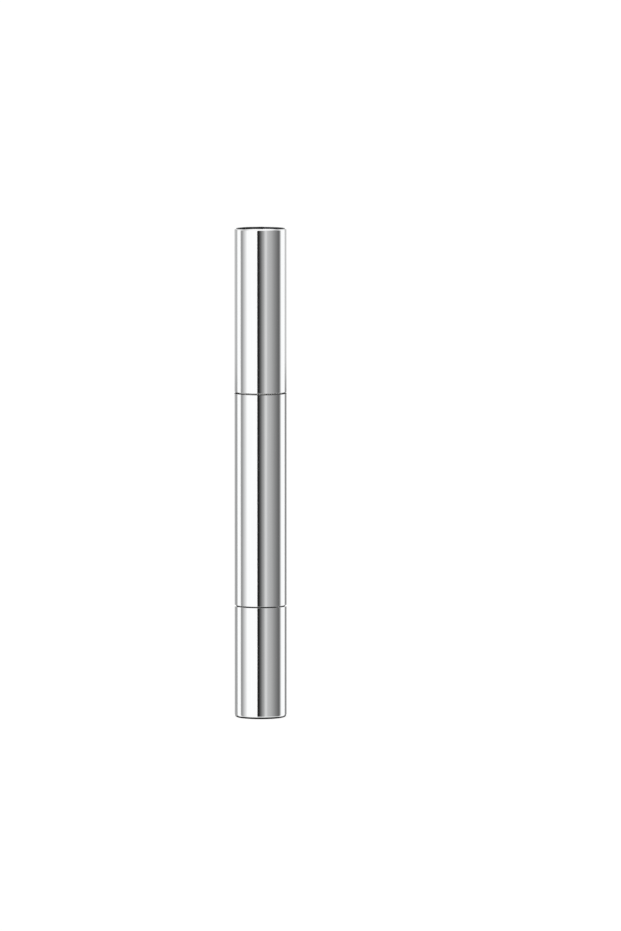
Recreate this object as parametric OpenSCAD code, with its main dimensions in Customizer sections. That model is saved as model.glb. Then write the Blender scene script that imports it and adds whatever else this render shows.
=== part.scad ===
// Slim twist pen for nail oil: polished metal sleeves over plastic mouldings. A click knob at the foot
// drives a piston up the oil chamber, a round brush stands in a nozzle, and the cap pulls straight off.
// Millimetres, +Z up, origin in the middle of the foot. The pen stands closed, as it is stored.

/* [Metal sleeves] */
// Outer diameter of the pen
pen_d = 13; // [12.4:0.1:16]
// Wall of the knob, barrel and cap sleeves
sleeve_wall = 0.4; // [0.3:0.05:0.6]
// Rounding round the foot
foot_round = 1; // [0.5:0.1:1.2]
// Rounding of the sleeves' cut edges
edge_round = 0.15; // [0.05:0.05:0.2]
// Height of the knob's sleeve
knob_h = 27.7; // [25:0.1:36]
// Open seam between knob and barrel
turn_gap = 0.3; // [0.2:0.05:0.6]
// Height of the barrel's sleeve
barrel_h = 52.65; // [46:0.05:64]
// Seam between barrel and cap
cap_gap = 0.3; // [0.15:0.05:0.4]

/* [Cap end disc] */
// Depth of the disc below the cap's rim
disc_inset = 0.35; // [0.1:0.05:1]
// Thickness of the disc
disc_t = 0.5; // [0.3:0.1:1]

/* [Reservoir and collar] */
// Bore of the oil chamber, which runs on through the collar
chamber_d = 8.6; // [7.6:0.1:9]
// Wall of the chamber tube and of the collar's lower band
tube_wall = 0.85; // [0.7:0.05:1]
// Wall of the collar above the band
collar_wall = 0.5; // [0.35:0.05:0.65]
// Height of the collar above the barrel's rim
collar_h = 14.7; // [12:0.1:18]
// Height of the collar's wide lower band
band_h = 4.6; // [3:0.1:6]
// Height of the bead round the collar's mouth
mouth_bead_h = 1.6; // [1:0.1:2.5]
// How far that bead stands proud of the collar
mouth_bead_proud = 0.13; // [0.05:0.01:0.15]
// Height of each ring that seats the tube in the barrel's sleeve
seat_ring_h = 2; // [1:0.1:3]
// Depth of the uppermost seat ring below the barrel's rim
seat_inset = 0.3; // [0.2:0.1:1]
// Height of the white seal below the nozzle
seal_h = 6; // [4:0.1:7]

/* [Nozzle] */
// Height of the nozzle's cone above the collar
cone_h = 12.5; // [9:0.1:16]
// Space between the seal and the nozzle's skirt
skirt_room = 1.9; // [0.5:0.1:3]
// Gap round the skirt, bridged by its two sealing beads
skirt_gap = 0.2; // [0.1:0.05:0.4]
// Ledge between the skirt and the foot of the cone
cone_ledge = 0.22; // [0.1:0.02:0.4]
// Wall of the nozzle at its mouth
mouth_wall = 0.56; // [0.4:0.02:0.8]
// Wall of the nozzle's skirt
skirt_wall = 0.8; // [0.5:0.05:1]
// Height of each sealing bead
seal_bead_h = 0.6; // [0.4:0.05:1]
// Distance from the lower sealing bead to the upper one
seal_bead_pitch = 3.3; // [1.5:0.1:4]
// Rounding of the nozzle's mouth
mouth_round = 0.2; // [0.1:0.05:0.25]

/* [Brush] */
// Diameter of the brush where it leaves the nozzle
brush_d = 4.5; // [3.5:0.1:5]
// Length of brush out of the nozzle
brush_out = 9.6; // [7:0.1:11]
// How much wider the brush is at its tip
brush_flare = 0.6; // [0:0.05:1]
// How far the tip leans to one side
brush_lean = 0.22; // [0:0.02:0.5]
// Drop of the tip's slanting cut at its low side
brush_cut = 0.92; // [0:0.02:1.5]
// Gap between the brush and the nozzle's bore
brush_gap = 0.1; // [0.05:0.01:0.2]
// Number of bristles
bristle_n = 360; // [300:10:500]
// Thickness of a bristle
bristle_d = 0.13; // [0.08:0.01:0.14]
// Thickness of the fused slice at the brush's root
root_t = 1; // [0.6:0.1:2]
// Height of the ferrule below the slice
ferrule_h = 4; // [3:0.1:5]
// Outer diameter of the feed tube
feed_d = 2.4; // [2:0.1:2.8]
// Wall of the feed tube
feed_wall = 0.45; // [0.3:0.05:0.6]

/* [Cap liner] */
// Room between the brush's tip and the liner's roof
tip_room = 2.48; // [1:0.01:6]
// Wall of the liner above the collar
liner_wall = 1; // [0.7:0.05:1.2]
// Thickness of the liner's roof
roof_t = 0.7; // [0.5:0.1:1.2]
// Gap between the liner and the nozzle's foot, from which the liner's upper bore follows
liner_gap = 0.52; // [0.3:0.02:0.8]
// Height of the stop shoulder's thick zone
shoulder_h = 1.1; // [0.6:0.1:2]

/* [Twist mechanism] */
// Climb of the screw in one turn of the knob
lead = 3; // [2:0.25:4]
// Middle radius of the screw's thread
thread_mid_r = 2; // [1.8:0.05:2.1]
// Half the depth of the thread
thread_depth = 0.3; // [0.2:0.02:0.35]
// Half the width across the screw's two flats
flat_half = 1.6; // [1.3:0.05:1.7]
// Length of screw that stays in the key at full travel
key_grip = 2.3; // [1.5:0.1:4]
// Height of the keyed bore at the neck's top
key_h = 4.5; // [3:0.1:6]
// Radius of the knob's neck
neck_r = 3.8; // [3.6:0.05:3.9]
// Height of the nut's thread
nut_h = 4.4; // [3:0.1:6]
// Depth of the nut in the tail bush
nut_seat_h = 1.6; // [1:0.1:2.5]
// Height of the tail bush
bush_h = 6.6; // [6.2:0.1:9]
// Height of the ratchet ring
ratchet_h = 2.6; // [2:0.1:3.5]
// Number of ratchet teeth
ratchet_n = 12; // [8:1:18]
// Depth of the ratchet teeth
tooth_depth = 0.4; // [0.3:0.05:0.5]
// Height of the piston
piston_h = 7; // [6:0.1:9]
// Wall of the knob's core
core_wall = 1.1; // [0.8:0.1:1.4]
// Thickness of the knob core's floor
core_floor = 1; // [0.8:0.1:2]
// Thickness of the core's shoulder under the neck
core_shoulder = 2; // [1.5:0.1:3]
// Section diameter of the damping ring
ring_d = 0.8; // [0.6:0.05:0.9]

/* [Fits] */
// Film of glue or press allowance between pieces that are joined for good
film = 0.02; // [0.01:0.005:0.04]
// Radial clearance of the knob's neck in its bearing
bearing_fit = 0.05; // [0.03:0.01:0.1]
// Radial clearance of the cap's liner over the collar
cap_fit = 0.1; // [0.05:0.01:0.15]
// Radial clearance of the piston's lips in the chamber
piston_fit = 0.03; // [0.02:0.01:0.06]
// Clearance of the screw's thread and flats
thread_fit = 0.12; // [0.08:0.01:0.15]
// Play left above and below pieces that must not touch
end_play = 0.4; // [0.3:0.05:0.6]

/* [Hidden] */
$fn = 96;
METAL = [0.86, 0.87, 0.88];
NATURAL = [0.83, 0.85, 0.83];
WHITE = [0.95, 0.95, 0.94];
GREY = [0.55, 0.56, 0.58];
DARK = [0.16, 0.16, 0.17];

// Sleeves
sleeve_r = pen_d / 2;
sleeve_bore_r = sleeve_r - sleeve_wall;
seat_r = sleeve_bore_r - film;
edge = min(edge_round, sleeve_wall / 3);
inner_round = max(foot_round - sleeve_wall, 0.05);
z_barrel = knob_h + turn_gap;
z_rim = z_barrel + barrel_h;
z_cap = z_rim + cap_gap;

// Tail of the barrel, from the turning seam up
tail_inset = 0.5;
chamfer = 0.25;
z_ratchet = z_barrel + tail_inset;
z_bush = z_ratchet + ratchet_h + film;
z_bush_top = z_bush + bush_h;
z_nut = z_bush_top - nut_seat_h;
z_nut_top = z_nut + nut_h;
bearing_r = neck_r + bearing_fit;
snap_proud = 0.25;
snap_h = 0.6;
snap_play = 0.15;
relief_r = neck_r + snap_proud + snap_play;
z_neck_top = z_nut - end_play;
z_snap = z_neck_top - end_play - snap_h;
z_land_top = z_snap - end_play;

// Chamber and collar
chamber_r = chamber_d / 2;
tube_r = chamber_r + tube_wall;
collar_r = chamber_r + collar_wall;
mouth_bead_r = collar_r + mouth_bead_proud;
plug_r = chamber_r - film;
z_tube = z_bush_top + film;
z_seat_top = z_rim - seat_inset;
z_seat_mid = (z_tube + z_seat_top) / 2;
z_band_top = z_rim + band_h;
z_collar_top = z_rim + collar_h;
z_seal = z_band_top - seal_h;
collar_edge = 0.15;

// Nozzle and brush
skirt_r = chamber_r - skirt_gap;
skirt_bore_r = skirt_r - skirt_wall;
cone_foot_r = skirt_r - cone_ledge;
brush_bore_r = brush_d / 2 + brush_gap;
cone_top_r = brush_bore_r + mouth_wall;
z_skirt = z_band_top + skirt_room;
z_mouth = z_collar_top + cone_h;
seal_bead_inset = 0.3;
bore_taper_h = 3.5;
z_taper = z_collar_top + seal_bead_h;
z_bore = z_taper + bore_taper_h;
z_ferrule = z_bore + film;
z_root = z_ferrule + ferrule_h + film;
z_tip = z_mouth + brush_out;
feed_r = feed_d / 2;
feed_bore_r = feed_r - feed_wall;
feed_hole_r = feed_r + film;
feed_recess = 0.3;
feed_stop_h = 0.9;
ferrule_hole_r = feed_bore_r - 0.15;
z_feed = z_seal + feed_recess;
z_feed_top = z_ferrule + ferrule_h - feed_stop_h - film;

// Cap
liner_recess = 0.2;
z_liner = z_cap + liner_recess;
z_roof = z_tip + tip_room;
z_liner_top = z_roof + roof_t;
z_disc = z_liner_top + film;
z_disc_top = z_disc + disc_t;
z_top = z_disc_top + disc_inset;
z_stop = z_collar_top + cap_fit;
z_mouth_step = z_band_top + end_play;
z_shoulder_top = z_stop + shoulder_h;
liner_mouth_r = tube_r + cap_fit;
liner_collar_r = mouth_bead_r + cap_fit / 2;
liner_bore_r = cone_foot_r + liner_gap;
liner_r = liner_bore_r + liner_wall;
liner_ring_h = 1.5;
z_liner_ring = (z_shoulder_top + z_liner_top - liner_ring_h) / 2;

// Piston and screw
lip_h = 1.3;
lip_groove_h = 0.9;
lip_t = 0.55;
lip_r = chamber_r - piston_fit;
piston_body_r = lip_r - 0.35;
piston_hub_r = 2.9;
z_piston = z_nut_top + 2 * end_play;
stem_r = 1.2;
stem_sunk = 0.5;
head_r = 1.7;
head_h = 1.3;
socket_play = 0.15;
socket_lip_h = 1.2;
z_head = z_piston + socket_lip_h + socket_play;
core_floor_top = sleeve_wall + film + core_floor;
chamber_travel = z_seal - end_play - z_piston - piston_h;
screw_travel = z_neck_top - key_grip - core_floor_top - end_play;
travel = min(chamber_travel, screw_travel);
z_screw = z_neck_top - key_grip - travel;
z_screw_top = z_piston - end_play / 2;
thread_crest_r = thread_mid_r + thread_depth;
key_r = thread_crest_r + thread_fit;
key_flat = flat_half + thread_fit * 2 / 3;
starts = 2;
thread_sides = 16;
rings_per_turn = 8;

// Knob core
z_core = sleeve_wall + film;
z_core_top = knob_h - end_play;
z_key = z_neck_top - key_h;
core_bore_r = seat_r - core_wall;
neck_bore_r = key_r + 0.15;
ring_seat_r = neck_r - ring_d;
z_groove = (z_bush + z_land_top) / 2;
groove_half = ring_d / 2 + film;

// Ratchet and pawl
ratchet_wall = 0.43;
ratchet_root_r = seat_r - ratchet_wall;
ratchet_tip_r = ratchet_root_r - tooth_depth;
steep_share = 0.04;
pawl_bore_r = neck_r + film;
pawl_ring_t = 0.45;
pawl_ring_r = pawl_bore_r + pawl_ring_t;
pawl_tip_r = ratchet_tip_r - 0.08;
pawl_arm_t = 0.3;
pawl_sweep = 110;
pawl_step = 10;
pawl_inset = 0.3;

// Section of a wall from radius a to b and height c to d, its corners rounded by e
module wall_section(a, b, c, d, e) {
    translate([a + e, c]) square([b - a - 2 * e, d - c]);
    translate([a, c + e]) square([b - a, d - c - 2 * e]);
    for (r = [a + e, b - e], z = [c + e, d - e]) translate([r, z]) circle(e);
}

// Plain turned ring from radius a to b and height c to d
module ring(a, b, c, d) {
    rotate_extrude() translate([a, c]) square([b - a, d - c]);
}

// Section of a bead of height h, half round, whose crest reaches radius b round the middle height z
module bead_section(a, b, z, h) {
    translate([a, z - h / 2]) square([b - h / 2 - a, h]);
    translate([b - h / 2, z]) circle(h / 2);
}

// Radius of the two-start thread at angle a and height z, which climbs one lead a turn
function thread_radius(a, z, grow) = thread_mid_r + grow + thread_depth * cos(starts * (a - 360 * z / lead));

// One ring of the thread's surface, cut off by the two flats
function thread_ring(z, grow, flat) = [
    for (j = [0 : thread_sides - 1])
        let (a = 360 * j / thread_sides, r = thread_radius(a, z, grow))
            [max(-flat, min(flat, r * cos(a))), r * sin(a), z]
];

// Solid thread from height c to d, grown by a clearance, with flats this far from the axis
module thread(c, d, grow, flat) {
    rings = ceil((d - c) * rings_per_turn / lead);
    points = [for (k = [0 : rings]) each thread_ring(c + (d - c) * k / rings, grow, flat)];
    sides = [
        for (k = [0 : rings - 1], j = [0 : thread_sides - 1])
            let (n = (j + 1) % thread_sides, low = k * thread_sides, high = low + thread_sides)
                each [[low + j, high + j, high + n], [low + j, high + n, low + n]]
    ];
    foot = [for (j = [0 : thread_sides - 1]) j];
    head = [for (j = [thread_sides - 1 : -1 : 0]) rings * thread_sides + j];
    polyhedron(points, concat([foot, head], sides), convexity = 10);
}

// The bristles stand on a sunflower spiral and fan out alike, so that none crosses another
golden_angle = 137.508;
root_r = (brush_d - bristle_d) / 2;
tip_scale = 1 + brush_flare / brush_d;
tip_r = root_r * tip_scale;
root_sunk = 0.2;
rim_drop = 0.8;
rim_power = 8;
cut_start = -0.3 * tip_r;
ragged = rands(0, 0.15, bristle_n, 7);
function root_at(i) =
    let (a = i * golden_angle, r = root_r * sqrt((i + 0.5) / bristle_n)) r * [cos(a), sin(a)];
function cut_drop(x) = brush_cut * max(0, (cut_start - x) / (tip_r + cut_start));
function rim_fall(p) = rim_drop * pow(norm(p) / tip_r, rim_power);
function tip_height(p) = z_tip - max(cut_drop(p.x), rim_fall(p));
function bristle_ring(p, z, turn) = [
    for (a = [0 : 120 : 240]) [p.x + bristle_d / 2 * cos(a + turn), p.y + bristle_d / 2 * sin(a + turn), z]
];
function bristle(i) =
    let (root = root_at(i), tip = root * tip_scale, turn = i * golden_angle)
        concat(
            bristle_ring(root, z_root + root_t - root_sunk, turn),
            bristle_ring(root, z_mouth, turn),
            bristle_ring(tip + [brush_lean, 0], tip_height(tip) - ragged[i], turn)
        );
bristle_faces = [
    [0, 1, 2],
    [8, 7, 6],
    for (k = [0, 3], j = [0 : 2])
        let (n = (j + 1) % 3)
            each [[k + j, k + 3 + j, k + 3 + n], [k + j, k + 3 + n, k + n]]
];

module knob_shell() {
    color(METAL) rotate_extrude() difference() {
        union() {
            square([sleeve_r - foot_round, knob_h / 2]);
            translate([0, foot_round]) square([sleeve_r, knob_h - foot_round - edge]);
            translate([0, knob_h / 2]) square([sleeve_r - edge, knob_h / 2]);
            translate([sleeve_r - edge, knob_h - edge]) circle(edge);
            intersection() {
                translate([sleeve_r - foot_round, foot_round]) circle(foot_round);
                square([sleeve_r, knob_h]);
            }
        }
        translate([0, foot_round]) square([sleeve_bore_r, knob_h]);
        translate([0, sleeve_wall]) square([sleeve_r - foot_round, foot_round]);
        intersection() {
            translate([sleeve_r - foot_round, foot_round]) circle(inner_round);
            translate([0, sleeve_wall]) square([sleeve_bore_r, knob_h]);
        }
    }
}

module knob_core() {
    color(GREY) difference() {
        rotate_extrude() polygon([
            [0, z_core],
            [seat_r - foot_round, z_core],
            [seat_r, z_core + foot_round],
            [seat_r, z_core_top - chamfer],
            [seat_r - chamfer, z_core_top],
            [neck_r, z_core_top],
            [neck_r, z_groove - groove_half],
            [ring_seat_r, z_groove - groove_half],
            [ring_seat_r, z_groove + groove_half],
            [neck_r, z_groove + groove_half],
            [neck_r, z_snap],
            [neck_r + snap_proud, z_snap],
            [neck_r + snap_proud, z_snap + snap_h / 3],
            [neck_r, z_snap + snap_h],
            [neck_r, z_neck_top],
            [0, z_neck_top],
            [0, z_key],
            [neck_bore_r, z_key],
            [neck_bore_r, z_core_top - core_shoulder],
            [core_bore_r, z_core_top - core_shoulder],
            [core_bore_r, core_floor_top],
            [0, core_floor_top]
        ]);
        translate([0, 0, z_key - end_play]) linear_extrude(key_h + 2 * end_play) intersection() {
            circle(key_r);
            square([2 * key_flat, 4 * key_r], center = true);
        }
    }
}

// Each arm trails from the ring out to a tip that rides over the teeth
module pawl_arm() {
    reach = pawl_tip_r - pawl_ring_r;
    function arm_r(a) = pawl_ring_r + reach * a / pawl_sweep;
    angles = [0 : pawl_step : pawl_sweep];
    polygon(concat(
        [for (a = angles) arm_r(a) * [cos(a), -sin(a)]],
        [for (a = [pawl_sweep : -pawl_step : 0]) (arm_r(a) - pawl_arm_t) * [cos(a), -sin(a)]]
    ));
}

module click_pawl() {
    z_pawl = z_ratchet + pawl_inset;
    pawl_h = ratchet_h - 2 * pawl_inset;
    color(DARK) {
        ring(pawl_bore_r, pawl_ring_r, z_pawl, z_pawl + pawl_h);
        for (turn = [0, 180]) rotate(turn) translate([0, 0, z_pawl]) linear_extrude(pawl_h) pawl_arm();
    }
}

module damping_ring() {
    centre_r = neck_r - ring_d / 2 + bearing_fit / 2;
    color(DARK) translate([0, 0, z_groove]) rotate_extrude() translate([centre_r, 0]) circle(ring_d / 2);
}

module barrel_shell() {
    color(METAL) rotate_extrude() wall_section(sleeve_bore_r, sleeve_r, z_barrel, z_rim, edge);
}

module reservoir() {
    color(NATURAL) rotate_extrude() difference() {
        union() {
            translate([0, z_tube]) square([tube_r, z_rim - z_tube]);
            wall_section(0, tube_r, z_rim - band_h, z_band_top, collar_edge);
            translate([0, z_rim]) square([collar_r, collar_h - mouth_bead_h / 2]);
            wall_section(0, mouth_bead_r, z_collar_top - mouth_bead_h, z_collar_top, collar_edge);
            for (z = [z_tube, z_seat_mid, z_seat_top - seat_ring_h])
                translate([0, z]) square([seat_r, seat_ring_h]);
        }
        translate([0, z_tube - 1]) square([chamber_r, z_collar_top]);
    }
}

module neck_seal() {
    color(WHITE) rotate_extrude() polygon([
        [feed_hole_r, z_seal],
        [plug_r - chamfer, z_seal],
        [plug_r, z_seal + chamfer],
        [plug_r, z_band_top - chamfer],
        [plug_r - chamfer, z_band_top],
        [feed_hole_r, z_band_top]
    ]);
}

module tail_bush() {
    color(GREY) rotate_extrude() polygon([
        [bearing_r, z_bush],
        [seat_r - chamfer, z_bush],
        [seat_r, z_bush + chamfer],
        [seat_r, z_bush_top - chamfer],
        [seat_r - chamfer, z_bush_top],
        [relief_r, z_bush_top],
        [relief_r, z_land_top],
        [bearing_r, z_land_top]
    ]);
}

// The teeth let the knob turn anticlockwise, seen from above, and stop it the other way
module ratchet_ring() {
    pitch = 360 / ratchet_n;
    color(GREY) translate([0, 0, z_ratchet]) linear_extrude(ratchet_h) difference() {
        circle(seat_r);
        polygon([
            for (k = [0 : ratchet_n - 1])
                let (low = k * pitch, high = (k + 1 - steep_share) * pitch)
                    each [ratchet_root_r * [cos(low), sin(low)], ratchet_tip_r * [cos(high), sin(high)]]
        ]);
    }
}

module screw_nut() {
    color(WHITE) difference() {
        union() {
            ring(0, relief_r - film, z_nut, z_bush_top + film);
            ring(0, plug_r, z_bush_top + film, z_nut_top);
        }
        thread(z_nut - 1, z_nut_top + 1, thread_fit, 2 * thread_crest_r);
    }
}

module lead_screw() {
    color(WHITE) {
        thread(z_screw, z_screw_top, 0, flat_half);
        translate([0, 0, z_screw_top - stem_sunk]) cylinder(r = stem_r, h = z_head + stem_sunk - z_screw_top);
        translate([0, 0, z_head]) cylinder(r = head_r, h = head_h);
    }
}

module piston() {
    z_socket_top = z_head + head_h + socket_play;
    z_piston_top = z_piston + piston_h;
    color(WHITE) rotate_extrude() polygon([
        [stem_r + socket_play, z_piston],
        [piston_hub_r, z_piston],
        [piston_hub_r, z_piston + lip_groove_h],
        [lip_r - lip_t, z_piston + lip_groove_h],
        [lip_r - lip_t, z_piston],
        [lip_r, z_piston],
        [lip_r, z_piston + lip_h],
        [piston_body_r, z_piston + lip_h + chamfer],
        [piston_body_r, z_piston_top - lip_h - chamfer],
        [lip_r, z_piston_top - lip_h],
        [lip_r, z_piston_top],
        [lip_r - lip_t, z_piston_top],
        [lip_r - lip_t, z_piston_top - lip_groove_h],
        [piston_hub_r, z_piston_top - lip_groove_h],
        [piston_hub_r, z_piston_top],
        [0, z_piston_top],
        [0, z_socket_top],
        [head_r + socket_play, z_socket_top],
        [head_r + socket_play, z_piston + socket_lip_h],
        [stem_r + socket_play, z_piston + socket_lip_h]
    ]);
}

module feed_tube() {
    color(NATURAL) ring(feed_bore_r, feed_r, z_feed, z_feed_top);
}

module nozzle() {
    z_lip = z_mouth - mouth_round;
    z_bead = z_skirt + seal_bead_inset + seal_bead_h / 2;
    bead_root_r = skirt_r - seal_bead_h;
    color(WHITE) rotate_extrude() {
        polygon([
            [skirt_bore_r, z_skirt],
            [skirt_r, z_skirt],
            [skirt_r, z_collar_top],
            [cone_foot_r, z_collar_top],
            [cone_top_r, z_lip],
            [brush_bore_r, z_lip],
            [brush_bore_r, z_bore],
            [skirt_bore_r, z_taper]
        ]);
        wall_section(brush_bore_r, cone_top_r, z_mouth - 3 * mouth_round, z_mouth, mouth_round);
        for (z = [z_bead, z_bead + seal_bead_pitch]) bead_section(bead_root_r, plug_r, z, seal_bead_h);
    }
}

module brush_root() {
    z_end = z_ferrule + ferrule_h;
    color(WHITE) rotate_extrude() polygon([
        [feed_hole_r, z_ferrule],
        [brush_bore_r - film, z_ferrule],
        [brush_bore_r - film, z_end],
        [ferrule_hole_r, z_end],
        [ferrule_hole_r, z_end - feed_stop_h],
        [feed_hole_r, z_end - feed_stop_h]
    ]);
}

module bristles() {
    count = len(bristle(0));
    color(WHITE) {
        translate([0, 0, z_root]) cylinder(r = brush_bore_r - film, h = root_t);
        polyhedron(
            [for (i = [0 : bristle_n - 1]) each bristle(i)],
            [for (i = [0 : bristle_n - 1], f = bristle_faces) [for (v = f) v + i * count]],
            convexity = 10
        );
    }
}

module cap_shell() {
    color(METAL) rotate_extrude() wall_section(sleeve_bore_r, sleeve_r, z_cap, z_top, edge);
}

module cap_liner() {
    color(WHITE) rotate_extrude() polygon([
        [liner_mouth_r, z_liner],
        [seat_r, z_liner],
        [seat_r, z_shoulder_top],
        [liner_r, z_shoulder_top + chamfer],
        [liner_r, z_liner_ring],
        [seat_r, z_liner_ring],
        [seat_r, z_liner_ring + liner_ring_h],
        [liner_r, z_liner_ring + liner_ring_h],
        [liner_r, z_liner_top - liner_ring_h],
        [seat_r, z_liner_top - liner_ring_h],
        [seat_r, z_liner_top],
        [0, z_liner_top],
        [0, z_roof],
        [liner_bore_r, z_roof],
        [liner_bore_r, z_stop],
        [liner_collar_r, z_stop],
        [liner_collar_r, z_mouth_step],
        [liner_mouth_r, z_mouth_step]
    ]);
}

module cap_end_disc() {
    color(METAL) rotate_extrude() polygon([
        [0, z_disc],
        [seat_r, z_disc],
        [seat_r, z_disc_top - disc_t / 5],
        [seat_r - disc_t / 5, z_disc_top],
        [0, z_disc_top]
    ]);
}

knob_shell();
knob_core();
click_pawl();
damping_ring();
barrel_shell();
reservoir();
neck_seal();
tail_bush();
ratchet_ring();
screw_nut();
lead_screw();
piston();
feed_tube();
nozzle();
brush_root();
bristles();
cap_shell();
cap_liner();
cap_end_disc();
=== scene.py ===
"""Looks of a slim twist pen for nail oil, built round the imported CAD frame.

Polished sleeves, the clear collar, the nozzle with its brush and the cap's inside are turned or drawn finer
here than in the CAD. The inner mouldings keep their CAD meshes and get real finishes. Sizes are in
millimetres, but those of the studio are in metres.
"""
import logging
import random
from dataclasses import dataclass, replace
from enum import Enum, IntEnum
from math import ceil, cos, degrees, hypot, pi, radians, sin, sqrt, tan

import bmesh
import bpy
from bmesh.types import BMesh
from bpy.types import Material, Mesh, Node, NodeSocket, NodeTree, Object, World
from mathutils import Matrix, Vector


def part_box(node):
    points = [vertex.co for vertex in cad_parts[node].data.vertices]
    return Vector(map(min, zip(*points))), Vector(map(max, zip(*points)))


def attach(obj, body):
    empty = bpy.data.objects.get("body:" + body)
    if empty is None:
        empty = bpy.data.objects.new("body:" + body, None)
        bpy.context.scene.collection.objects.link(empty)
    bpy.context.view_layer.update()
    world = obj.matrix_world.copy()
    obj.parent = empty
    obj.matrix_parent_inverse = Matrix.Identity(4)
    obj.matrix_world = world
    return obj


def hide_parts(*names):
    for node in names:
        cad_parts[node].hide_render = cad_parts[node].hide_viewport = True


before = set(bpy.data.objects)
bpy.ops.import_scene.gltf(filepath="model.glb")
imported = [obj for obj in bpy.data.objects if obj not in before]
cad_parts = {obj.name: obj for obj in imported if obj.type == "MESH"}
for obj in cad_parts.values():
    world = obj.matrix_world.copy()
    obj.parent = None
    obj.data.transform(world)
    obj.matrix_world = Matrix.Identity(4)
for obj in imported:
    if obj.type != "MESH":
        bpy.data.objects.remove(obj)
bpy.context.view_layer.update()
LOG = logging.getLogger("nail_oil_pen")
MM = 0.001
Pair = tuple[float, float]
Triple = tuple[float, float, float]
# A turn by this angle gives the next point of a sunflower's spiral.
GOLDEN_ANGLE = radians(137.508)
# Nearly all values of a noise lie between these.
NOISE_MIDDLE = (0.3, 0.7)
# Tones that are blended to this power look evenly spread.
GAMMA = 2.2


class Body(Enum):
    """The CAD bodies that new pieces ride on."""

    BARREL = "barrel"
    CAP = "cap"
    KNOB = "knob"


class Slot(Enum):
    """The record's material slots, by name; new pieces are given one, but nothing uses it."""

    METAL = "polished_metal"
    NATURAL = "natural_plastic"
    WHITE = "white_plastic"
    FIBRE = "bristle_fibre"


class Zone(IntEnum):
    """The zones of a sleeve by their finish, in the order of its materials."""

    POLISHED = 0
    # The dull zone and the foot zone carry painted shade: dark metal inside and at rims, a painted contact
    # shadow at the foot.
    DULL_PAINTED_SHADE = 1
    FOOT = 2


# Finishes.


def linear(colour: str) -> tuple[float, float, float, float]:
    """Turns an sRGB hex colour into the linear colour that shaders take, by the standard's curve.

    Args:
        colour: The colour as "#RRGGBB".

    Returns:
        Linear red, green and blue, with an alpha of 1.
    """
    parts = [int(colour[i : i + 2], 16) / 255 for i in (1, 3, 5)]
    return (*(p / 12.92 if p <= 0.04045 else ((p + 0.055) / 1.055) ** 2.4 for p in parts), 1.0)


def pattern_scale(size_mm: float) -> float:
    """Gives the noise scale at which one bump of a pattern is this many millimetres wide."""
    return 1 / (size_mm * MM)


def bare_tree(owner: Material | World) -> NodeTree:
    """Gives a material or a world an empty node tree.

    Args:
        owner: The material or the world.

    Returns:
        Its node tree.
    """
    owner.use_nodes = True
    owner.node_tree.nodes.clear()
    return owner.node_tree


def add_node(
    tree: NodeTree, kind: str, settings: dict | None = None, inputs: dict | None = None
) -> Node:
    """Adds a node with its settings and links.

    Args:
        tree: The node tree that gets the node.
        kind: The node's type, such as "ShaderNodeBump".
        settings: The node's own properties by name.
        inputs: Values or sockets to link, by the input's name or number.

    Returns:
        The new node.
    """
    made = tree.nodes.new(kind)
    for name, value in (settings or {}).items():
        setattr(made, name, value)
    for name, value in (inputs or {}).items():
        if isinstance(value, NodeSocket):
            tree.links.new(value, made.inputs[name])
        else:
            made.inputs[name].default_value = value
    return made


@dataclass(frozen=True)
class Finish:
    """A finish that makes its material once and shares it among the pieces that wear it."""

    name: str

    def material(self) -> Material:
        """Finds the finish's material, or makes it.

        Returns:
            The material, with its node tree.
        """
        made = bpy.data.materials.get(self.name)
        if made is None:
            made = bpy.data.materials.new(self.name)
            tree = bare_tree(made)
            shader = add_node(tree, "ShaderNodeBsdfPrincipled", inputs=self.settings(tree))
            add_node(tree, "ShaderNodeOutputMaterial", inputs={"Surface": shader.outputs[0]})
        return made

    def settings(self, tree: NodeTree) -> dict:
        """Gives the shader's inputs by name and adds their nodes; each kind of finish has its own."""
        raise NotImplementedError

    def noise(
        self, tree: NodeTree, size_mm: float, stretch: float = 1, detail: float = 3
    ) -> NodeSocket:
        """Adds noise laid out in the piece's own millimetres.

        Args:
            tree: The material's node tree.
            size_mm: Width of one bump of the noise.
            stretch: How many times longer the bumps are along the pen.
            detail: Number of finer layers.

        Returns:
            The noise's value, about 0.5 in the middle.
        """
        place = add_node(tree, "ShaderNodeTexCoord").outputs["Object"]
        squeeze = {"Vector": place, "Scale": (1.0, 1.0, 1 / stretch)}
        mapped = add_node(tree, "ShaderNodeMapping", inputs=squeeze).outputs[0]
        scale = {"Vector": mapped, "Scale": pattern_scale(size_mm), "Detail": detail}
        return add_node(tree, "ShaderNodeTexNoise", inputs=scale).outputs[0]

    def spread(self, tree: NodeTree, value: NodeSocket, low: float, high: float) -> NodeSocket:
        """Spreads the middle part of a noise's value over the range from low to high."""
        span = dict(enumerate((value, *NOISE_MIDDLE, low, high)))
        return add_node(tree, "ShaderNodeMapRange", inputs=span).outputs[0]

    def tint(self, tree: NodeTree, value: NodeSocket, first: str, second: str) -> NodeSocket:
        """Mixes two near hex colours by a noise's value; the first is where the noise is low."""
        mix = {0: self.spread(tree, value, 0, 1), 6: linear(first), 7: linear(second)}
        return add_node(tree, "ShaderNodeMix", {"data_type": "RGBA"}, mix).outputs[2]

    def bump(self, tree: NodeTree, height: NodeSocket, depth_mm: float) -> NodeSocket:
        """Gives the normal of a bump on which a height of 1 is this many millimetres."""
        shape = {"Height": height, "Distance": depth_mm * MM}
        return add_node(tree, "ShaderNodeBump", inputs=shape).outputs[0]


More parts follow.
